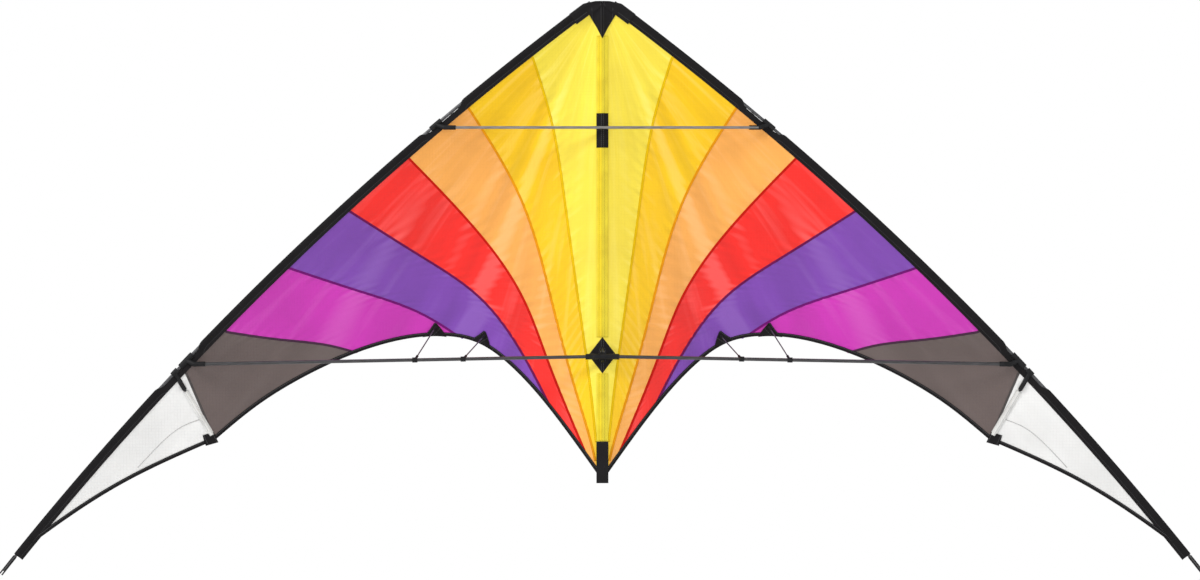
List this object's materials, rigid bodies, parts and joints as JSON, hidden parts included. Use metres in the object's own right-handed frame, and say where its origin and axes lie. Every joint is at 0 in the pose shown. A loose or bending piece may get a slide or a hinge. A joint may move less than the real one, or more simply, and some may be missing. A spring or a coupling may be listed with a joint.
{
  "type": "two-line delta kite",
  "caption": "Swept delta sport kite: striped ripstop sail on a black rod frame with spreaders, sail stand-offs, tip battens and corded tips; wings fold back about the spine.",
  "frame": {"origin": "on the spine's axis at the height of the centre tee, where the middle bridle leg is tied", "axes": "+Z along the spine to the nose, +X to the flyer's right along the span, +Y away from the flyer, into the belly of the sail"},
  "size_m": [1.9098, 0.0994, 0.9095],
  "materials": {
    "black_cloth": "woven, matt",
    "black_cord": "woven, matt",
    "black_vinyl": "soft moulded vinyl",
    "black_webbing": "woven, matt",
    "carbon": "satin pultruded carbon rod",
    "ferrule_metal": "matt fibre tube",
    "sail_golden_yellow": "translucent ripstop cloth",
    "sail_grey": "translucent ripstop cloth",
    "sail_magenta": "translucent ripstop cloth",
    "sail_orange": "translucent ripstop cloth",
    "sail_pale_yellow": "translucent ripstop cloth",
    "sail_purple": "translucent ripstop cloth",
    "sail_red": "translucent ripstop cloth",
    "sail_white_tip": "translucent ripstop cloth",
    "white_cloth": "woven, matt"
  },
  "bodies": {
    "spine": {"spine_rod": "carbon", "spine_end_caps": "black_vinyl", "centre_tee": "black_vinyl", "tail_webbing": "black_webbing"},
    "wing_left": {"upper_spreader_rod": "carbon", "batten_pocket_left": "white_cloth", "centre_patches_left": "black_cloth", "edge_patches_left": "black_cloth", "leading_edge_ferrule_left": "ferrule_metal", "leading_edge_lower_rod_left": "carbon", "leading_edge_sleeve_left": "black_cloth", "leading_edge_upper_rod_left": "carbon", "lower_connector_left": "black_vinyl", "lower_spreader_rod_left": "carbon", "nose_patch_left": "black_cloth", "sail_panel_golden_yellow_left": "sail_golden_yellow", "sail_panel_grey_left": "sail_grey", "sail_panel_magenta_left": "sail_magenta", "sail_panel_orange_left": "sail_orange", "sail_panel_pale_yellow_left": "sail_pale_yellow", "sail_panel_purple_left": "sail_purple", "sail_panel_red_left": "sail_red", "sail_panel_white_tip_left": "sail_white_tip", "tension_loop_left": "black_cord", "tip_batten_left": "black_vinyl", "tip_nock_left": "black_vinyl", "trailing_edge_tape_left": "black_cloth", "upper_connector_left": "black_vinyl"},
    "wing_right": {"batten_pocket_right": "white_cloth", "centre_patches_right": "black_cloth", "edge_patches_right": "black_cloth", "leading_edge_ferrule_right": "ferrule_metal", "leading_edge_lower_rod_right": "carbon", "leading_edge_sleeve_right": "black_cloth", "leading_edge_upper_rod_right": "carbon", "lower_connector_right": "black_vinyl", "lower_spreader_rod_right": "carbon", "nose_patch_right": "black_cloth", "sail_panel_golden_yellow_right": "sail_golden_yellow", "sail_panel_grey_right": "sail_grey", "sail_panel_magenta_right": "sail_magenta", "sail_panel_orange_right": "sail_orange", "sail_panel_pale_yellow_right": "sail_pale_yellow", "sail_panel_purple_right": "sail_purple", "sail_panel_red_right": "sail_red", "sail_panel_white_tip_right": "sail_white_tip", "tension_loop_right": "black_cord", "tip_batten_right": "black_vinyl", "tip_nock_right": "black_vinyl", "trailing_edge_tape_right": "black_cloth", "upper_connector_right": "black_vinyl"},
    "standoff_inner_left": {"standoff_fittings_inner_left": "black_vinyl", "standoff_rod_inner_left": "carbon"},
    "standoff_inner_right": {"standoff_fittings_inner_right": "black_vinyl", "standoff_rod_inner_right": "carbon"},
    "standoff_outer_left": {"standoff_fittings_outer_left": "black_vinyl", "standoff_rod_outer_left": "carbon"},
    "standoff_outer_right": {"standoff_fittings_outer_right": "black_vinyl", "standoff_rod_outer_right": "carbon"}
  },
  "joints": [
    {"name": "wing_left_fold", "type": "hinge", "parent": "spine", "child": "wing_left", "pos_m": [0, 0, 0], "axis": [0, 0, -1], "range_deg": [0, 55]},
    {"name": "standoff_outer_left_swing", "type": "hinge", "parent": "wing_left", "child": "standoff_outer_left", "pos_m": [-0.2966, -0.014, -0.00564], "axis": [0.9998, 0, 0.019], "range_deg": [0, 150]},
    {"name": "standoff_inner_left_swing", "type": "hinge", "parent": "wing_left", "child": "standoff_inner_left", "pos_m": [-0.2202, -0.014, -0.00419], "axis": [0.9998, 0, 0.019], "range_deg": [0, 150]},
    {"name": "wing_right_fold", "type": "hinge", "parent": "spine", "child": "wing_right", "pos_m": [0, 0, 0], "axis": [0, 0, 1], "range_deg": [0, 55]},
    {"name": "standoff_outer_right_swing", "type": "hinge", "parent": "wing_right", "child": "standoff_outer_right", "pos_m": [0.2966, -0.014, -0.00564], "axis": [0.9998, 0, -0.019], "range_deg": [0, 150]},
    {"name": "standoff_inner_right_swing", "type": "hinge", "parent": "wing_right", "child": "standoff_inner_right", "pos_m": [0.2202, -0.014, -0.00419], "axis": [0.9998, 0, -0.019], "range_deg": [0, 150]}
  ]
}
